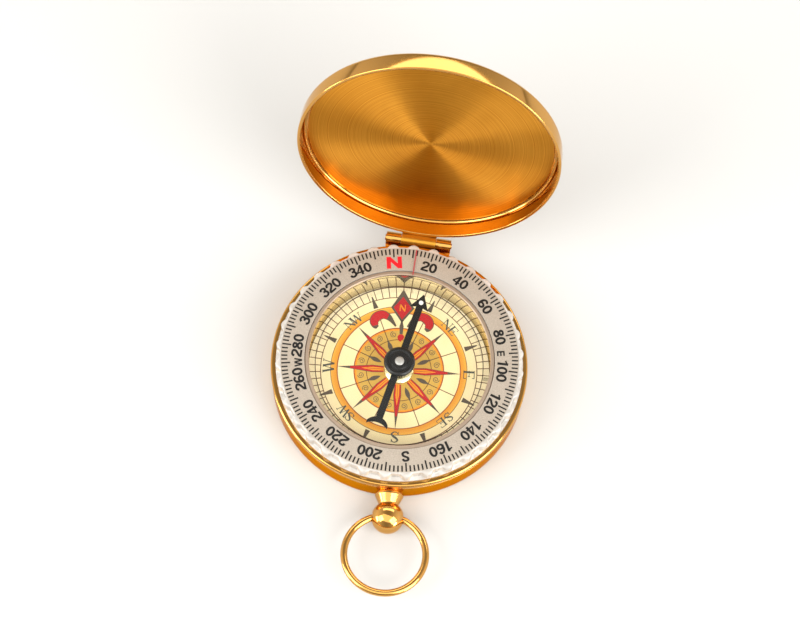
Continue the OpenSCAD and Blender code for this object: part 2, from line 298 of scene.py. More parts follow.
def blend_colours(tree, factor, first, second):
    mix = add(tree, "ShaderNodeMix", {0: factor, 6: first, 7: second}, data_type="RGBA")
    return mix.outputs[2]


def spread(tree, value, low, high):
    """A 0 to 1 value mapped to low to high."""
    return add(tree, "ShaderNodeMapRange",
               {"Value": value, "To Min": low, "To Max": high}).outputs[0]


def noise(tree, vector, scale, detail=3.0):
    """Noise of a scale given in cycles per metre of the object."""
    return add(tree, "ShaderNodeTexNoise",
               {"Vector": vector, "Scale": scale, "Detail": detail}).outputs["Fac"]


def object_point(tree):
    return add(tree, "ShaderNodeTexCoord").outputs["Object"]


def stretched(tree, point, scale):
    return add(tree, "ShaderNodeVectorMath", {0: point, 1: scale},
               operation="MULTIPLY").outputs[0]


def turned_radius(tree, point):
    """Distance from the object's own Z axis."""
    return add(tree, "ShaderNodeVectorMath", {0: stretched(tree, point, (1, 1, 0))},
               operation="LENGTH").outputs["Value"]


def brass(name, deep, bright, rough, lacquer=0.8, rim=rgb(246, 214, 150)):
    """Lacquered brass, with slow colour drift and fine wiping marks. rim tints its edges."""
    material, tree, bsdf = shader(name)
    wear = 0.5
    point = object_point(tree)
    drift = noise(tree, point, 70.0, 2.0)
    marks = noise(tree, stretched(tree, point, (1, 1, 6)), 1500.0, 4.0)
    bsdf.inputs["Metallic"].default_value = 1.0
    bsdf.inputs["Specular Tint"].default_value = rim
    bsdf.inputs["Coat Weight"].default_value = lacquer
    bsdf.inputs["Coat Roughness"].default_value = 0.05
    tree.links.new(blend_colours(tree, drift, deep, bright), bsdf.inputs["Base Color"])
    tree.links.new(spread(tree, marks, rough * (1 - wear), rough * (1 + wear)),
                   bsdf.inputs["Roughness"])
    bump = add(tree, "ShaderNodeBump",
               {"Strength": 0.03, "Distance": 0.00002, "Height": marks})
    tree.links.new(bump.outputs[0], bsdf.inputs["Normal"])
    return material


def spun(name, deep, bright, rough, anisotropy, pitch, depth):
    """Brass brushed round the object's own Z, with lines of a given pitch in metres."""
    material, tree, bsdf = shader(name)
    point = object_point(tree)
    radius = turned_radius(tree, point)
    lines = add(tree, "ShaderNodeTexNoise",
                {"W": radius, "Scale": 1 / pitch, "Detail": 3.0},
                noise_dimensions="1D").outputs["Fac"]
    broken = noise(tree, point, 500.0, 3.0)
    drift = noise(tree, point, 45.0, 2.0)
    tone = add(tree, "ShaderNodeMath", {0: lines, 1: drift}, operation="MULTIPLY")
    bsdf.inputs["Metallic"].default_value = 1.0
    tree.links.new(blend_colours(tree, spread(tree, tone.outputs[0], 0.0, 2.4),
                                 deep, bright), bsdf.inputs["Base Color"])
    tree.links.new(spread(tree, broken, rough * 0.85, rough * 1.15),
                   bsdf.inputs["Roughness"])
    bsdf.inputs["Specular Tint"].default_value = rgb(240, 200, 130)
    bsdf.inputs["Anisotropic"].default_value = anisotropy
    along = add(tree, "ShaderNodeTangent", direction_type="RADIAL", axis="Z")
    tree.links.new(along.outputs[0], bsdf.inputs["Tangent"])
    bump = add(tree, "ShaderNodeBump",
               {"Strength": depth, "Distance": 0.00003, "Height": lines})
    tree.links.new(bump.outputs[0], bsdf.inputs["Normal"])
    return material


def ink(name, colour, second=None, rough=0.45):
    """Printed ink, with the slight unevenness of print on card."""
    material, tree, bsdf = shader(name)
    point = object_point(tree)
    blot = noise(tree, point, 2500.0, 2.0)
    other = second or tuple(c * 0.82 for c in colour[:3]) + (1.0,)
    tree.links.new(blend_colours(tree, blot, colour, other), bsdf.inputs["Base Color"])
    tree.links.new(spread(tree, blot, rough - 0.08, rough + 0.12), bsdf.inputs["Roughness"])
    bsdf.inputs["Specular IOR Level"].default_value = 0.3
    return material


def card_paper():
    """Cream printed card with a faint mottle and a grain."""
    material, tree, bsdf = shader("card_paper")
    point = object_point(tree)
    mottle = noise(tree, point, 260.0, 3.0)
    grain = noise(tree, point, 7000.0, 2.0)
    tone = blend_colours(tree, mottle, rgb(236, 220, 174), rgb(230, 209, 152))
    outward = add(tree, "ShaderNodeMapRange",
                  {"Value": turned_radius(tree, point), "From Min": GOLD_OUTER * MM,
                   "From Max": CARD_R * MM}).outputs[0]
    tree.links.new(blend_colours(tree, outward, tone, rgb(230, 213, 178)),
                   bsdf.inputs["Base Color"])
    bsdf.inputs["Roughness"].default_value = 0.6
    bump = add(tree, "ShaderNodeBump",
               {"Strength": 0.08, "Distance": 0.00002, "Height": grain})
    tree.links.new(bump.outputs[0], bsdf.inputs["Normal"])
    return material


def gold_ink():
    """The gold ring: orange on its inside, a lighter gold at its outside."""
    material, tree, bsdf = shader("gold_ink")
    point = object_point(tree)
    radius = turned_radius(tree, point)
    across = add(tree, "ShaderNodeMapRange",
                 {"Value": radius, "From Min": GOLD_INNER * MM,
                  "From Max": GOLD_OUTER * MM}).outputs[0]
    tone = blend_colours(tree, across, rgb(214, 134, 36), rgb(230, 170, 66))
    blot = noise(tree, point, 1800.0, 2.0)
    tree.links.new(blend_colours(tree, spread(tree, blot, 0.0, 0.35), tone,
                                 rgb(214, 150, 48)), bsdf.inputs["Base Color"])
    bsdf.inputs["Roughness"].default_value = 0.42
    return material


def silver_print():
    """The degree ring: silver-beige paint with a fine metallic fleck."""
    material, tree, bsdf = shader("silver_print")
    point = object_point(tree)
    fleck = noise(tree, point, 5200.0, 3.0)
    drift = noise(tree, point, 90.0, 2.0)
    tone = blend_colours(tree, drift, rgb(145, 136, 123), rgb(137, 127, 114))
    tree.links.new(blend_colours(tree, spread(tree, fleck, -0.4, 1.2), tone,
                                 rgb(174, 162, 147)), bsdf.inputs["Base Color"])
    bsdf.inputs["Metallic"].default_value = 0.15
    tree.links.new(spread(tree, fleck, 0.38, 0.55), bsdf.inputs["Roughness"])
    return material


def plain(name, colour, rough, metallic=0.0):
    """Lacquer, rubber or steel, with a little variation in its gloss."""
    material, tree, bsdf = shader(name)
    point = object_point(tree)
    vary = noise(tree, point, 1500.0, 3.0)
    dark = tuple(c * 0.8 for c in colour[:3]) + (1.0,)
    tree.links.new(blend_colours(tree, vary, colour, dark), bsdf.inputs["Base Color"])
    tree.links.new(spread(tree, vary, rough * 0.8, rough * 1.25), bsdf.inputs["Roughness"])
    bsdf.inputs["Metallic"].default_value = metallic
    bump = add(tree, "ShaderNodeBump",
               {"Strength": 0.05, "Distance": 0.00003, "Height": vary})
    tree.links.new(bump.outputs[0], bsdf.inputs["Normal"])
    return material


def outer_gloss(tree, ior):
    """The share of light mirrored by an outer face. Light on its way out passes."""
    fresnel = add(tree, "ShaderNodeFresnel", {"IOR": ior})
    inside = add(tree, "ShaderNodeNewGeometry").outputs["Backfacing"]
    front = add(tree, "ShaderNodeMath", {0: 1.0, 1: inside}, operation="SUBTRACT")
    share = add(tree, "ShaderNodeMath", {0: fresnel.outputs[0], 1: front.outputs[0]},
                operation="MULTIPLY")
    return share.outputs[0]


def sheer(name, tint):
    """Thin clear glass or plastic: it lets light straight through and adds a gloss."""
    material, tree, bsdf = shader(name)
    gloss = 0.03
    tree.nodes.remove(bsdf)
    swirl = noise(tree, object_point(tree), 300.0, 2.0)
    shine = add(tree, "ShaderNodeBsdfGlossy",
                {"Roughness": spread(tree, swirl, gloss * 0.5, gloss * 2.0)})
    through = add(tree, "ShaderNodeBsdfTransparent", {"Color": tint})
    mix = add(tree, "ShaderNodeMixShader",
              {0: outer_gloss(tree, 1.4), 1: through.outputs[0], 2: shine.outputs[0]})
    out = next(n for n in tree.nodes if n.type == "OUTPUT_MATERIAL")
    tree.links.new(mix.outputs[0], out.inputs["Surface"])
    return material


def moulded(name, tint, milk):
    """Thick moulded plastic: clear with a glossy skin and a milky share of a tint."""
    material, tree, bsdf = shader(name)
    point = object_point(tree)
    flow = noise(tree, stretched(tree, point, (1, 1, 0.3)), 500.0, 2.0)
    tree.links.new(blend_colours(tree, flow, tint, rgb(226, 221, 214)),
                   bsdf.inputs["Base Color"])
    tree.links.new(spread(tree, flow, 0.2, 0.35), bsdf.inputs["Roughness"])
    through = add(tree, "ShaderNodeBsdfTransparent", {"Color": (0.99, 0.985, 0.98, 1.0)})
    body = add(tree, "ShaderNodeMixShader",
               {0: spread(tree, flow, milk - 0.08, milk + 0.08), 1: through.outputs[0],
                2: bsdf.outputs[0]})
    skin = add(tree, "ShaderNodeBsdfGlossy", {"Roughness": 0.1})
    mix = add(tree, "ShaderNodeMixShader",
              {0: outer_gloss(tree, 1.55), 1: body.outputs[0], 2: skin.outputs[0]})
    out = next(n for n in tree.nodes if n.type == "OUTPUT_MATERIAL")
    tree.links.new(mix.outputs[0], out.inputs["Surface"])
    return material


# Inner and outer radius of the gold ring on the dial.
GOLD_INNER = 12.2
GOLD_OUTER = 13.45

BRASS_DEEP = rgb(188, 133, 46)
BRASS_BRIGHT = rgb(214, 159, 74)
mat_brass = brass("polished_brass", BRASS_DEEP, BRASS_BRIGHT, 0.10)
mat_turned = brass("turned_brass", rgb(208, 154, 86), rgb(220, 170, 102), 0.2,
                   lacquer=0.0, rim=rgb(236, 176, 100))
mat_tab = brass("brushed_tab", rgb(186, 128, 36), rgb(206, 152, 60), 0.4, lacquer=0.0)
mat_spun = spun("spun_brass", rgb(156, 92, 16), rgb(206, 148, 56), 0.5, 0.92,
                0.00022, 0.25)
mat_wall = brass("well_brass", rgb(252, 246, 230), rgb(255, 251, 240), 0.07, lacquer=0.0)
mat_boss = brass("boss_brass", rgb(232, 214, 160), rgb(246, 234, 190), 0.25)
mat_copper = plain("copper_ring", rgb(176, 156, 136), 0.4, metallic=0.7)
mat_steel = plain("bright_steel", rgb(214, 214, 212), 0.22, metallic=1.0)
mat_seal = plain("dark_seal", rgb(58, 32, 14), 0.35)
mat_black = plain("black_lacquer", rgb(6, 6, 6), 0.38)
mat_bearing = plain("satin_bearing", rgb(186, 184, 180), 0.55, metallic=0.8)
mat_lume = plain("luminous_dot", rgb(226, 226, 222), 0.5)
mat_index = plain("index_red", rgb(170, 60, 64), 0.4)
mat_card = card_paper()
mat_gold = gold_ink()
mat_disc = ink("disc_gold", rgb(203, 164, 82), rgb(188, 147, 63))
mat_red = ink("red_ink", rgb(186, 40, 42), rgb(166, 30, 36))
mat_orange = ink("orange_ink", rgb(240, 146, 44))
mat_dark = ink("dark_ink", rgb(92, 80, 68))
mat_brown = ink("brown_ink", rgb(150, 78, 48))
mat_line = ink("line_ink", rgb(104, 66, 46))
mat_letter = ink("letter_ink", rgb(84, 86, 80))
mat_scale = silver_print()
mat_numbers = ink("number_ink", rgb(22, 20, 18), rough=0.35)
mat_north = ink("north_ink", rgb(208, 28, 38), rough=0.35)
mat_window = sheer("window_glass", (0.99, 0.995, 0.99, 1.0))
mat_bezel = moulded("bezel_plastic", rgb(194, 187, 176), 0.6)


# ---------------------------------------------------------------- case

def draw_case(bm):
    """Turned bowl with a groove under the rim and a shallow ring on its underside."""
    r = CASE_R
    top = CASE_HIGH.z
    wall, ledge_in, ledge_z = 1, 2.8, 5.2
    groove, groove_in = 0.4, 0.3
    dimple, dimple_r = 0.12, 6.0
    ring_low, ring_r, ring_w = 0.15, 19.4, 0.9
    lathe(bm, rounded([
        (0, dimple, 0), (dimple_r, dimple, 0.1), (dimple_r + 0.2, 0, 0.1),
        (ring_r, 0, 0.08), (ring_r + 0.15, ring_low, 0.05),
        (ring_r + ring_w - 0.15, ring_low, 0.05), (ring_r + ring_w, 0, 0.08), (r, 0, 0.8),
        (r, top - groove, 0.1), (r - groove_in, top - groove, 0.05), (r - groove_in, top, 0),
        (r - wall, top, 0), (r - wall, ledge_z, 0), (r - ledge_in, ledge_z, 0),
        (r - ledge_in, wall, 0), (0, wall, 0),
    ]))


def draw_rim(bm):
    """The bright band round the case's mouth."""
    width = 1.35
    lathe(bm, rounded([
        (RIM_R - width, RIM_LOW.z, 0.05), (RIM_R, RIM_LOW.z, 0.2),
        (RIM_R, RIM_Z, 0.42), (RIM_R - width, RIM_Z, 0.12),
    ]))


piece("case_body", draw_case, mat_turned, "base", ["case_shell"])
piece("rim_band", draw_rim, mat_brass, "base", ["rim_ring"])


# ---------------------------------------------------------------- hinge

keep_node("case_hinge_leaf", mat_brass, bevel=0.1)
keep_node("hinge_pin", mat_brass, bevel=0.12)
keep_node("lid_hinge_leaf", mat_tab, bevel=0.1)


# ---------------------------------------------------------------- lid

# The shut lid has its rim at height LID_Z. The liner is the brushed disc inside it.
LID_R = CASE_R + 0.2
LID_H = 4.05
LID_WALL = 0.7
LID_TOP = 0.5
LINER_R = LID_R - 1.6
LINER_T = 0.2
LID_Z = RIM_Z + 0.05


def lid_place(height):
    """Carries what is drawn round Z at a height above the shut lid's rim to the open lid."""
    swing = Matrix.Rotation(math.radians(-LID_OPEN), 4, "X")
    return (Matrix.Translation(HINGE) @ swing @ Matrix.Translation(-HINGE)
            @ Matrix.Translation((0, 0, LID_Z + height)))


def draw_lid(bm):
    lathe(bm, rounded([
        (0, LID_H, 0), (0, LID_H - LID_TOP, 0),
        (LID_R - LID_WALL, LID_H - LID_TOP, 0.6),
        (LID_R - LID_WALL, 0, 0.18), (LID_R, 0, 0.22), (LID_R, LID_H, 1.1),
    ], steps=10))


def draw_liner(bm):
    """Thin disc with a rolled edge, brushed on its lower face."""
    lathe(bm, rounded([
        (0, 0, 0), (LINER_R, 0, 0.08), (LINER_R, LINER_T, 0.02), (0, LINER_T, 0),
    ]))


piece("lid_body", draw_lid, mat_brass, "lid", ["lid_shell"], lid_place(0))
piece("lid_brushed_disc", draw_liner, mat_spun, "lid", ["lid_liner"],
      lid_place(LID_H - LID_TOP - LINER_T), own_axis=True)


# ---------------------------------------------------------------- bezel

# Ribs are round bars of radius RIB_R let into a wall of radius BEZEL_ROOT.
RIBS = 36
RIB_R = 1.2
RIB_PITCH = math.tau / RIBS
RIB_CENTRE = BEZEL_HIGH.x - RIB_R
BEZEL_ROOT = CASE_R - 1.6
BORE = CASE_R - 6.55


def rib_height(angle):
    """How far a rib stands out of the bezel's wall at an angle."""
    off = math.remainder(angle - math.pi / 2, RIB_PITCH)
    across = RIB_CENTRE * math.sin(off)
    if abs(across) >= RIB_R:
        return 0.0
    out = RIB_CENTRE * math.cos(off) + math.sqrt(RIB_R ** 2 - across ** 2)
    return max(0.0, out - BEZEL_ROOT)


def draw_bezel(bm):
    """Ribbed wall on a round flange, with the top plate and the foot that snaps in."""
    top = BEZEL_HIGH.z
    seat = SCALE_LOW.z
    base = RIM_Z + 0.05
    shelf = base + 0.7
    foot = CASE_R - 1.33
    lip = CASE_R - 1.08
    inner = CASE_R - 2.7
    out = BEZEL_HIGH.x
    profile = [
        (BORE, seat - 1, 0), (inner, seat - 1, 0), (inner, BEZEL_LOW.z, 0),
        (lip, BEZEL_LOW.z, 0), (lip, BEZEL_LOW.z + 0.45, 0), (foot, BEZEL_LOW.z + 0.45, 0),
        (foot, base, 0), (out - 0.08, base, 0), (out, base + 0.08, 0),
        (out, shelf - 0.25, 0), (out - 0.1, shelf - 0.08, 0), (BEZEL_ROOT + 0.1, shelf, 0.85),
        (BEZEL_ROOT, shelf + 0.08, 1), (BEZEL_ROOT, top - 0.4, 1),
        (BEZEL_ROOT - 0.05, top - 0.16, 0.92), (BEZEL_ROOT - 0.16, top - 0.04, 0.8),
        (BEZEL_ROOT - 0.28, top, 0.6),
        (SCALE_HIGH.x, top, 0), (SCALE_HIGH.x, seat, 0), (BORE, seat, 0),
    ]
    shares = [share for _, _, share in profile]
    lathe(bm, [(r, z) for r, z, _ in profile], segments=RIBS * 20,
          swell=lambda k, angle: shares[k] * rib_height(angle) if shares[k] else 0.0)


def scale_place():
    return Matrix.Rotation(math.radians(SCALE_TURN), 4, "Z")


def draw_scale(bm):
    lathe(bm, rounded([
        (BORE, SCALE_LOW.z, 0.03), (SCALE_HIGH.x, SCALE_LOW.z, 0.03),
        (SCALE_HIGH.x, SCALE_HIGH.z, 0.03), (BORE, SCALE_HIGH.z, 0.05),
    ]))


# Ticks are measured inward from TICK_R. Figures stand on DIGIT_BASE.
TICK_R = 22.95
TICK_LONG = 1.75
TICK_SHORT = 1.2
TICK_W = 0.3
DIGIT_H = 2.1
DIGIT_BASE = 18.9


def draw_ticks(bm):
    for bearing in range(0, 360, 2):
        length = TICK_LONG if bearing % 10 == 0 else TICK_SHORT
        mark = line((0, TICK_R - length), (0, TICK_R), TICK_W)
        prism(bm, turned(mark, bearing), SCALE_HIGH.z, SCALE_HIGH.z + INK)


# Width of a bold stroke, as a share of a letter's height.
PEN = 0.19


def loop(x, y, across, up):
    """A closed oval stroke about a point."""
    steps = 20
    return ribbon([(x + across * math.cos(math.tau * k / steps),
                    y + up * math.sin(math.tau * k / steps), PEN)
                   for k in range(steps + 1)])


def pen(*points):
    """A curved stroke of the pen's width."""
    return ribbon(smooth([(x, y, PEN) for x, y in points]))


def bold(letter):
    """Strokes of a bold upright figure or capital one unit high, centred on x = 0."""
    side = 0.215
    low, high = PEN / 2, 1 - PEN / 2
    if letter == "0":
        return [loop(0, 0.5, side, 0.5 - PEN / 2)]
    if letter == "1":
        return [line((0.09, 0), (0.09, 1), PEN), line((-0.2, 0.72), (0.09, 0.9), 0.14)]
    if letter == "2":
        return [pen((-side, 0.67), (-0.15, 0.86), (0.03, high), (0.2, 0.82), (0.18, 0.6),
                    (0.02, 0.42), (-0.16, 0.26), (-0.22, 0.06)),
                line((-0.3, low), (0.3, low), PEN)]
    if letter == "3":
        return [pen((-0.2, 0.75), (-0.1, 0.89), (0.06, high), (0.19, 0.8), (0.16, 0.62),
                    (0.02, 0.55), (-0.06, 0.55)),
                pen((-0.06, 0.54), (0.06, 0.54), (0.2, 0.44), (0.21, 0.22), (0.06, low),
                    (-0.12, 0.11), (-0.22, 0.28))]
    if letter == "4":
        return [line((0.11, 0), (0.11, 1), PEN), line((0.08, 0.93), (-0.25, 0.33), 0.13),
                line((-0.32, 0.28), (0.3, 0.28), 0.14)]
    if letter == "6":
        return [pen((0.2, 0.76), (0.1, 0.9), (-0.05, 0.9), (-0.18, 0.74), (-side, 0.48),
                    (-0.19, 0.28)), loop(0, 0.3, side, 0.3 - PEN / 2)]
    if letter == "8":
        return [loop(0, 0.75, 0.17, 0.25 - PEN / 2), loop(0, 0.29, side, 0.29 - PEN / 2)]
    if letter == "N":
        return [line((-0.25, 0), (-0.25, 1), PEN), line((0.25, 0), (0.25, 1), PEN),
                line((-0.25, 0.96), (0.25, 0.04), 0.2)]
    if letter == "E":
        return [line((-0.22, 0), (-0.22, 1), PEN)] + [
            line((-0.22, y), (0.25, y), PEN) for y in (low, 0.5, high)]
    if letter == "S":
        return [pen((0.21, 0.72), (0.13, 0.88), (-0.03, high), (-0.19, 0.82), (-0.17, 0.63),
                    (0, 0.53), (0.18, 0.4), (0.2, 0.2), (0.04, low), (-0.14, 0.1),
                    (-0.23, 0.27))]
    return [line((x, y), (x + 0.18, 1 - y), 0.17)
            for x, y in ((-0.42, 1), (-0.21, 0), (0.03, 1), (0.24, 0))]


def letters(bm, text, height, bearing, base_radius, width=1.2):
    """A word or number set straight at a bearing on the scale, with its top outward."""
    pitch = 0.75
    low, high = SCALE_HIGH.z, SCALE_HIGH.z + INK
    for k, letter in enumerate(text):
        shift = (k - (len(text) - 1) / 2) * pitch * height
        for n, stroke in enumerate(bold(letter)):
            sized = [(p[0] * height * width + shift, p[1] * height) for p in stroke]
            prism(bm, turned(sized, bearing, base_radius), low, high + n * STROKE_STEP)


def draw_numbers(bm):
    small = 1.5
    for bearing in range(20, 360, 20):
        text = "S" if bearing == 180 else str(bearing)
        letters(bm, text, DIGIT_H, bearing, DIGIT_BASE)
    for text, bearing in (("E", 90), ("W", 270)):
        letters(bm, text, small, bearing, DIGIT_BASE)


def draw_north(bm):
    """A red N, bigger and wider than the figures."""
    letters(bm, "N", 2.5, 0, DIGIT_BASE - 0.1, width=1.75)


piece("bezel_clear_ring", draw_bezel, mat_bezel, "bezel",
      ["bezel_ring"], scale_place(), sharp=50)
piece("degree_scale", draw_scale, mat_scale, "bezel", ["degree_ring"],
      scale_place())
piece("degree_ticks", draw_ticks, mat_numbers, "bezel",
      place=scale_place())
piece("degree_numbers", draw_numbers, mat_numbers, "bezel",
      place=scale_place())
piece("degree_north", draw_north, mat_north, "bezel", place=scale_place())


# ---------------------------------------------------------------- dial print

# Radii of the print: inside of the degree track, inside outline of the gold ring, the disc
# and its outline, and the thin circle in the disc. CARD_BORE is the card's middle hole.
TRACK_R = 15.4
BAND_R = 12.15
DISC_R = 8.83
DISC_LINE = 0.12
CIRCLE_R = 6.4
CARD_BORE = 1.0
POINTS = 8
STEP = 360 / POINTS


def layer(k):
    """Bottom and top of one coat of print: coat 0 lies on the card."""
    return DIAL_Z, DIAL_Z + INK * (k + 1)


def dial_place():
    return Matrix.Rotation(math.radians(DIAL_TURN), 4, "Z")


def dial_print(name, draw, material):
    return piece(name, draw, material, "base", place=dial_place())


def draw_card(bm):
    lathe(bm, rounded([
        (CARD_BORE, CARD_LOW.z, 0), (CARD_R, CARD_LOW.z, 0.02),
        (CARD_R, DIAL_Z, 0.02), (CARD_BORE, DIAL_Z, 0),
    ]))


def draw_gold_ring(bm):
    disc_ring(bm, GOLD_INNER, GOLD_OUTER, *layer(0))


def draw_disc(bm):
    disc_ring(bm, CARD_BORE, DISC_R, *layer(0))


def draw_fine_lines(bm):
    """Circles and thin radial lines of the card."""
    track_marks = 72
    thin = 0.16
    circles = ((TRACK_R, 0.16), (GOLD_OUTER, 0.1), (CIRCLE_R, 0.14))
    low, high = layer(1)
    for radius, width in circles:
        disc_ring(bm, radius - width / 2, radius + width / 2, low, high)
    for k in range(track_marks):
        mark = line((0, TRACK_R), (0, CARD_R), thin)
        prism(bm, turned(mark, k * 360 / track_marks), low, high)
    for k in range(POINTS):
        bearing = (k + 0.5) * STEP
        prism(bm, turned(line((0, CIRCLE_R), (0, BAND_R), thin), bearing), low, high)


def draw_red_circles(bm):
    """Outlines of the gold ring's inside and of the disc."""
    low, high = layer(1)
    disc_ring(bm, BAND_R - 0.1, BAND_R + 0.08, low, high)
    disc_ring(bm, DISC_R - DISC_LINE, DISC_R + 0.1, low, high)


def draw_orange_edge(bm):
    """Orange band just inside the disc's outline."""
    width = 0.33
    disc_ring(bm, DISC_R - DISC_LINE - width, DISC_R - DISC_LINE, *layer(1))


def draw_wedges(bm):
    """Dark wedges between the letters, and the leaves near the middle."""
    wedge = [(-0.5, 13.8), (0.5, 13.8), (0.1, 16.4), (-0.1, 16.4)]
    leaf = smooth([(0, 3.8, 0.05), (0, 4.6, 0.7), (0, 5.4, 0.85), (0, 6.3, 0.3), (0, 7.4, 0.05)])
    for k in range(POINTS):
        bearing = (k + 0.5) * STEP
        prism(bm, turned(wedge, bearing), *layer(2))
        prism(bm, turned(ribbon(leaf), bearing), *layer(2))


def draw_spirals(bm):
    """A small scroll beside every point and leaf, near the disc's edge."""
    count = 2 * POINTS
    radius = 0.66
    turns = 1.6
    steps = 32
    for k in range(count):
        bearing = (k + 0.5) * 360 / count
        side = -1 if k % 2 else 1
        scroll = [(*polar(radius * (1 - 0.8 * s / steps), side * 360 * turns * s / steps), 0.12)
                  for s in range(steps + 1)]
        prism(bm, turned(ribbon(scroll), bearing, 7.55), *layer(2))


# Radii along a star point, half its width at its waist, and the width of its dark edge.
STAR_TIP = 12.1
STAR_RED = 9.6
STAR_WAIST = 5.2
STAR_ROOT = 3.0
STAR_W = 0.78
EDGE_W = 0.09


def star_half(radius):
    """Half the width of a star point at a radius beyond its waist."""
    return STAR_W * (STAR_TIP - radius) / (STAR_TIP - STAR_WAIST)


def star(tip, inset=0.0):
    """Outline of a star point from its root, through its waist, to a radius."""
    root, waist, end = (max(w - inset, 0.01) for w in (0.8 * STAR_W, STAR_W, star_half(tip)))
    right = [(root, STAR_ROOT), (waist, STAR_WAIST), (end, tip)]
    return right + [(-x, y) for x, y in right[::-1]]


def draw_star_dark(bm):
    """Dark outline and tip of every star point but north's."""
    for k in range(1, POINTS):
        prism(bm, turned(star(STAR_TIP), k * STEP), *layer(2))


def draw_star_red(bm):
    for k in range(1, POINTS):
        prism(bm, turned(star(STAR_RED, EDGE_W), k * STEP), *layer(3))


def draw_star_orange(bm):
    """Orange flame up the middle of every star point."""
    root, waist, reach_up = 0.3, 0.36, 2.2
    flame = [(-root, STAR_ROOT), (root, STAR_ROOT), (waist, STAR_WAIST),
             (0, STAR_WAIST + reach_up), (-waist, STAR_WAIST)]
    for k in range(1, POINTS):
        prism(bm, turned(flame, k * STEP), *layer(4))


def draw_star_lines(bm):
    """Dark centre line of every star point's flame."""
    for k in range(1, POINTS):
        centre = line((0, STAR_ROOT), (0, STAR_WAIST + 1.2), EDGE_W)
        prism(bm, turned(centre, k * STEP), *layer(5))


# Where the north mark's diamond is widest, and half its width there.
DIAMOND_MID = 13.2
DIAMOND_W = 2.3


def diamond(low, high, half):
    return [(0, low), (half, DIAMOND_MID), (0, high), (-half, DIAMOND_MID)]


# The middle line of the left curl beside the north mark, with its width.
CURL = [(-1.15, 9.2, 0.05), (-1.9, 10.2, 0.5), (-2.8, 11.1, 1.1), (-3.9, 11.5, 1.6),
        (-5.0, 11.0, 1.75), (-5.5, 10.0, 1.55), (-5.2, 9.1, 1.1), (-4.75, 8.7, 0.45)]


def draw_north_dark(bm):
    """The north mark's dark outline, its stem, and the dark ends of its curls."""
    low, high = layer(3)
    outline = 0.28
    stem = [(-0.28, 7.6), (0.28, 7.6), (0.42, 9.2), (0.1, 10.6), (-0.1, 10.6), (-0.42, 9.2)]
    prism(bm, diamond(10.0, 17.2, DIAMOND_W), low, high)
    prism(bm, stem, low, high)
    curl = ribbon(smooth([(x, y, w + outline) for x, y, w in CURL]))
    prism(bm, curl, low, high)
    prism(bm, mirrored(curl), low, high)


def draw_north_red(bm):
    low, high = layer(4)
    prism(bm, diamond(10.7, 15.6, DIAMOND_W - 0.5), low, high)
    body = ribbon(smooth(CURL[2:7]))
    prism(bm, body, low, high)
    prism(bm, mirrored(body), low, high)
    heart = smooth([(0, 6.0, 0.1), (-0.1, 6.5, 1.0), (0, 7.1, 1.3), (0, 7.55, 0.6)])
    prism(bm, ribbon(heart), low, high)


def draw_north_letter(bm):
    """The N in the diamond."""
    low, high = layer(5)
    foot, head, half = 12.5, 13.9, 0.5
    prism(bm, line((-half, foot), (-half, head), 0.16), low, high)
    prism(bm, line((half, foot), (half, head), 0.16), low, high)
    prism(bm, line((-half, head), (half, foot), 0.3), low, high)


def serif_letter(letter):
    """Strokes of a capital one unit high, with thick and thin strokes and serifs."""
    thick, thin = 0.17, 0.06
    foot = 0.26

    def serif(x, y):
        return line((x - foot / 2, y), (x + foot / 2, y), thin)

    if letter == "N":
        return [line((-0.36, 0), (-0.36, 1), thin), line((0.36, 0), (0.36, 1), thin),
                line((-0.36, 1), (0.36, 0), thick), serif(-0.36, 0.02),
                serif(-0.4, 0.98), serif(0.36, 0.98)]
    if letter == "E":
        ends = [line((0.38, 0.02), (0.38, 0.24), thin), line((0.34, 0.98), (0.34, 0.78), thin),
                line((0.18, 0.4), (0.18, 0.62), thin)]
        arms = [line((-0.38, y), (end, y), thin)
                for y, end in ((0.03, 0.38), (0.51, 0.18), (0.97, 0.36))]
        return [line((-0.24, 0), (-0.24, 1), thick), *arms, *ends]
    if letter == "S":
        spine = smooth([(0.28, 0.78, 0.05), (0.12, 0.96, 0.07), (-0.12, 0.94, 0.09),
                        (-0.26, 0.76, 0.15), (-0.08, 0.56, 0.19), (0.14, 0.42, 0.19),
                        (0.28, 0.24, 0.15), (0.1, 0.05, 0.09), (-0.14, 0.05, 0.07),
                        (-0.3, 0.24, 0.05)])
        return [ribbon(spine), line((0.28, 0.7), (0.28, 0.98), thin),
                line((-0.3, 0.02), (-0.3, 0.3), thin)]
    return [line((-0.56, 1), (-0.28, 0), thick), line((-0.28, 0), (-0.02, 1), thin),
            line((-0.02, 1), (0.26, 0), thick), line((0.26, 0), (0.54, 1), thin),
            serif(-0.56, 0.98), serif(-0.02, 0.98), serif(0.54, 0.98)]


def draw_letters(bm):
    """The eight winds but north, in serif capitals with their tops outward."""
    winds = {45: "NE", 90: "E", 135: "SE", 180: "S", 225: "SW", 270: "W", 315: "NW"}
    base = 12.75
    pitch = 1.15
    for bearing, name in winds.items():
        height = 2.2 if len(name) == 1 else 1.85
        for k, letter in enumerate(name):
            shift = (k - (len(name) - 1) / 2) * pitch * height * 0.82
            turn = math.degrees(shift / (base + height / 2))
            for stroke in serif_letter(letter):
                sized = [(p[0] * height, p[1] * height) for p in stroke]
                prism(bm, turned(sized, bearing + turn, base), *layer(2))


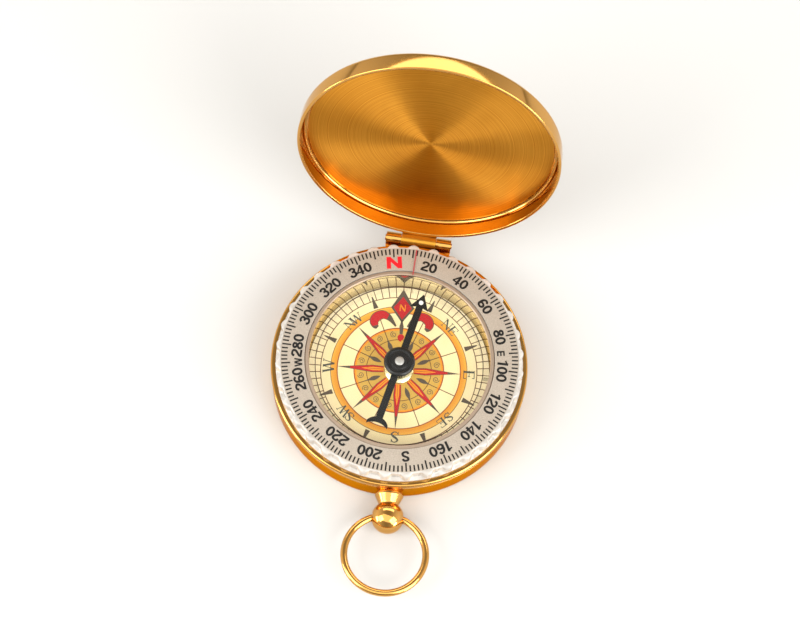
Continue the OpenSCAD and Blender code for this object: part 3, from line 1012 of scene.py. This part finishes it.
piece("printed_card", draw_card, mat_card, "base", ["dial_card"],
      dial_place())
dial_print("dial_gold_ring", draw_gold_ring, mat_gold)
dial_print("dial_gold_disc", draw_disc, mat_disc)
dial_print("dial_orange_edge", draw_orange_edge, mat_orange)
dial_print("dial_fine_lines", draw_fine_lines, mat_line)
dial_print("dial_red_circles", draw_red_circles, mat_brown)
dial_print("dial_wedges", draw_wedges, mat_dark)
dial_print("dial_scrolls", draw_spirals, mat_dark)
dial_print("dial_star_tips", draw_star_dark, mat_dark)
dial_print("dial_star_red", draw_star_red, mat_red)
dial_print("dial_star_roots", draw_star_orange, mat_orange)
dial_print("dial_star_lines", draw_star_lines, mat_brown)
dial_print("dial_north_dark", draw_north_dark, mat_dark)
dial_print("dial_north_red", draw_north_red, mat_red)
dial_print("dial_north_letter", draw_north_letter, mat_orange)
dial_print("dial_letters", draw_letters, mat_letter)


# ---------------------------------------------------------------- dial well

WELL_BORE = reach("dial_plate")[1].x + 0.05


def draw_well(bm):
    """The polished wall round the dial, with a lip that the dial plate lies on."""
    lip = 1
    seat = CARD_LOW.z - 0.64
    lathe(bm, rounded([
        (WELL_BORE - lip, WELL_LOW.z, 0), (WELL_HIGH.x, WELL_LOW.z, 0),
        (WELL_HIGH.x, WELL_HIGH.z, 0.05), (WELL_BORE, WELL_HIGH.z, 0.05),
        (WELL_BORE, seat, 0), (WELL_BORE - lip, seat, 0),
    ]))


def draw_retainer(bm):
    low, high = reach("dial_retainer")
    inner = BAND_HIGH.x
    lathe(bm, rounded([
        (inner, low.z, 0.03), (high.x, low.z, 0), (high.x, high.z, 0.05),
        (inner, high.z, 0.04),
    ]))


def draw_band(bm):
    thick = 0.15
    lathe(bm, rounded([
        (BAND_HIGH.x - thick, BAND_LOW.z, 0.05), (BAND_HIGH.x, BAND_LOW.z, 0.02),
        (BAND_HIGH.x, BAND_HIGH.z, 0.02), (BAND_HIGH.x - thick, BAND_HIGH.z, 0.05),
    ]))


def draw_clamp(bm):
    """The ring that holds the window, softened at its inner edge."""
    inner = CLAMP_HIGH.x - 0.75
    lathe(bm, rounded([
        (inner, CLAMP_LOW.z, 0), (CLAMP_HIGH.x, CLAMP_LOW.z, 0),
        (CLAMP_HIGH.x, CLAMP_HIGH.z, 0.1), (inner, CLAMP_HIGH.z, 0.2),
    ]))


def draw_window(bm):
    lathe(bm, rounded([
        (0, WINDOW_LOW.z, 0), (WINDOW_HIGH.x, WINDOW_LOW.z, 0.05),
        (WINDOW_HIGH.x, WINDOW_HIGH.z, 0.1), (0, WINDOW_HIGH.z, 0),
    ]))


def draw_boss(bm):
    """A low dome with a hole for the needle's post."""
    bore = 0.35
    steps = 12
    rise = BOSS_HIGH.z - DIAL_Z
    angles = [math.pi / 2 * k / steps for k in range(steps)]
    dome = [(BOSS_HIGH.x * math.cos(a), DIAL_Z + rise * math.sin(a)) for a in angles]
    lathe(bm, [*dome, (bore, BOSS_HIGH.z), (bore, DIAL_Z)], segments=96)


piece("polished_well", draw_well, mat_wall, "base", ["dial_well"])
piece("clear_retainer", draw_retainer, mat_window, "base",
      ["dial_retainer"])
piece("dark_band", draw_band, mat_seal, "base", ["retainer_band"])
piece("window_ring", draw_clamp, mat_copper, "base", ["window_clamp"])
piece("window_glass", draw_window, mat_window, "base", ["window"])
piece("domed_boss", draw_boss, mat_boss, "base", ["pivot_boss"])
keep_node("dial_plate", mat_boss)
keep_node("pivot_post", mat_steel)
keep_node("bezel_washer", mat_steel)
keep_node("pendant_nut", mat_steel)
keep_node("index_pointer", mat_index)


# ---------------------------------------------------------------- needle

def draw_hub(bm):
    """The needle's round cap, with a groove in its top."""
    r = HUB_HIGH.x
    low, high = HUB_LOW.z, HUB_HIGH.z
    bore, groove_low = 0.8, HUB_HIGH.z - 0.22
    lathe(bm, rounded([
        (bore, low, 0), (r - 0.15, low, 0.1), (r, high - 0.35, 0.25), (r - 0.45, high, 0.25),
        (2.3, high, 0.08), (2.15, groove_low, 0.06), (1.7, groove_low, 0.06),
        (1.55, high - 0.04, 0.08), (bore, high - 0.02, 0.05),
    ]), segments=128)


def draw_jewel(bm):
    """The bearing's low rounded top, which fills the cap's bore."""
    r = JEWEL_HIGH.x
    low, high = HUB_HIGH.z - 0.3, JEWEL_HIGH.z
    lathe(bm, rounded([
        (0, low, 0), (r, low, 0), (r, high - 0.17, 0.1), (r * 0.55, high - 0.02, 0.3),
        (0, high, 0),
    ]), segments=64)


piece("needle_cap", draw_hub, mat_black, "needle", ["needle_hub"])
piece("needle_bearing", draw_jewel, mat_bearing, "needle", ["needle_jewel"])
keep_node("needle_blade", mat_black, bevel=0.05)
keep_node("needle_dot", mat_lume, bevel=0.03)


# ---------------------------------------------------------------- pendant and bow

def draw_pendant(bm):
    """Rounded flange, cove, short neck and ball, turned round the way out of the case."""
    centre = BALL.xy.length - CASE_R
    ball = reach("pendant")[1].z - BALL.z
    flange, neck = 2.75, 2.0
    inside = -0.5
    steps = 40
    meet = math.asin(neck / ball)
    angles = [meet + (math.pi - meet) * k / steps for k in range(1, steps)]
    sphere = [(ball * math.sin(a), centre - ball * math.cos(a)) for a in angles]
    stem = rounded([
        (0, inside, 0), (flange - 0.35, inside, 0), (flange - 0.3, 0.1, 0.1),
        (flange, 0.45, 0.3), (flange, 0.9, 0.25), (neck, 2.4, 0.6),
        (neck, centre - ball * math.cos(meet), 0),
    ])
    lathe(bm, [*stem, *sphere, (0, centre + ball)], segments=128)


PENDANT_TURN = Matrix.Rotation(math.atan2(BALL.x, -BALL.y), 4, "Z")


def pendant_place():
    """Carries what is drawn round Z, upwards, to the pendant's way out of the case."""
    return (PENDANT_TURN @ Matrix.Translation((0, -CASE_R, BALL.z))
            @ Matrix.Rotation(math.pi / 2, 4, "X"))


pendant = piece("ball_pendant", draw_pendant, mat_brass, "base", ["pendant"],
                pendant_place())


def pierce(obj, radius, length):
    """Bores a hole across obj, at the ball's centre, square to the pendant."""
    bm = bmesh.new()
    turn = PENDANT_TURN @ Matrix.Rotation(math.pi / 2, 4, "Y")
    bmesh.ops.create_cone(bm, segments=64, radius1=radius * MM, radius2=radius * MM,
                          depth=length * MM, cap_ends=True,
                          matrix=Matrix.Translation(BALL * MM) @ turn)
    mesh = bpy.data.meshes.new("drill")
    bm.to_mesh(mesh)
    bm.free()
    drill = bpy.data.objects.new("drill", mesh)
    bpy.context.scene.collection.objects.link(drill)
    cut = obj.modifiers.new("hole", "BOOLEAN")
    cut.object = drill
    cut.operation = "DIFFERENCE"
    cut.solver = "EXACT"
    bpy.context.view_layer.update()
    bored = bpy.data.meshes.new_from_object(obj.evaluated_get(
        bpy.context.evaluated_depsgraph_get()))
    obj.modifiers.clear()
    obj.data = bored
    bored.shade_smooth()
    bored.set_sharp_from_angle(angle=math.radians(40))
    bpy.data.objects.remove(drill)


BOW_HOLE_R = 1.08
pierce(pendant, BOW_HOLE_R, 9.0)
keep_node("bow_ring", mat_brass)


# ---------------------------------------------------------------- stage

def build_stage():
    """The pale floor."""
    bm = bmesh.new()
    bmesh.ops.create_grid(bm, x_segments=1, y_segments=1, size=3.0)
    mesh = bpy.data.meshes.new("floor")
    bm.to_mesh(mesh)
    bm.free()
    floor = bpy.data.objects.new("floor", mesh)
    clear = 0.00002
    floor.location.z = cad_box[0].z - clear
    bpy.context.scene.collection.objects.link(floor)
    material, tree, bsdf = shader("pale_floor")
    bsdf.inputs["Base Color"].default_value = (0.5, 0.495, 0.48, 1.0)
    bsdf.inputs["Roughness"].default_value = 0.9
    mesh.materials.append(material)


def softbox(name, place, width, depth, power):
    """A soft lamp that faces the compass."""
    aim = Vector((0, 0.01, 0.01))
    light = bpy.data.lights.new(name, "AREA")
    light.shape = "RECTANGLE"
    light.size, light.size_y = width, depth
    light.energy = power
    obj = bpy.data.objects.new(name, light)
    obj.location = place
    obj.rotation_euler = (aim - Vector(place)).to_track_quat("-Z", "Y").to_euler()
    bpy.context.scene.collection.objects.link(obj)


def build_lights():
    softbox("overhead", (-0.05, -0.26, 0.62), 1.0, 0.6, 3.2)
    softbox("high_right", (0.46, -0.3, 0.42), 0.5, 0.45, 4.2)
    softbox("high_left", (-0.48, -0.26, 0.4), 0.4, 0.4, 3.0)
    softbox("low_right", (0.6, -0.42, 0.1), 0.3, 0.2, 2.2)
    softbox("low_left", (-0.62, -0.22, 0.08), 0.3, 0.2, 1.8)
    softbox("rear", (0.0, 0.52, 0.5), 1.0, 0.25, 2.4)
    build_sky()


def build_sky():
    """A studio that is brighter at its sides than in front and behind."""
    world = bpy.data.worlds.new("studio")
    bpy.context.scene.world = world
    world.use_nodes = True
    tree = world.node_tree
    way = add(tree, "ShaderNodeTexCoord").outputs["Generated"]
    sideways = add(tree, "ShaderNodeSeparateXYZ", {0: way}).outputs[0]
    square = add(tree, "ShaderNodeMath", {0: sideways, 1: sideways}, operation="MULTIPLY")
    sky = tree.nodes["Background"]
    sky.inputs["Color"].default_value = (1, 0.95, 0.88, 1)
    tree.links.new(spread(tree, square.outputs[0], 0.4, 1.4), sky.inputs["Strength"])


def build_camera():
    """A long lens that looks down at the dial, turned so that the compass leans."""
    azimuth = math.radians(4.3)
    elevation = math.radians(68.48)
    roll = math.radians(4.4)
    distance = 383.2
    across, up_shift = 0.12, 9.88
    back = Vector((math.sin(azimuth) * math.cos(elevation),
                   -math.cos(azimuth) * math.cos(elevation), math.sin(elevation)))
    right = Vector((math.cos(azimuth), math.sin(azimuth), 0))
    up = back.cross(right)
    tilted_right = right * math.cos(roll) + up * math.sin(roll)
    tilted_up = up * math.cos(roll) - right * math.sin(roll)
    target = Vector((0, 0, RIM_Z)) + tilted_right * across + tilted_up * up_shift
    turn = Matrix((tilted_right, tilted_up, back)).transposed().to_4x4()
    data = bpy.data.cameras.new("camera")
    data.sensor_width = 36.0
    data.lens = 88.4
    data.clip_start = 0.01
    camera = bpy.data.objects.new("camera", data)
    camera.matrix_world = Matrix.Translation((target + back * distance) * MM) @ turn
    bpy.context.scene.collection.objects.link(camera)
    bpy.context.scene.camera = camera


build_stage()
build_lights()
build_camera()
bpy.context.scene.view_settings.view_transform = "Standard"

bpy.context.view_layer.update()
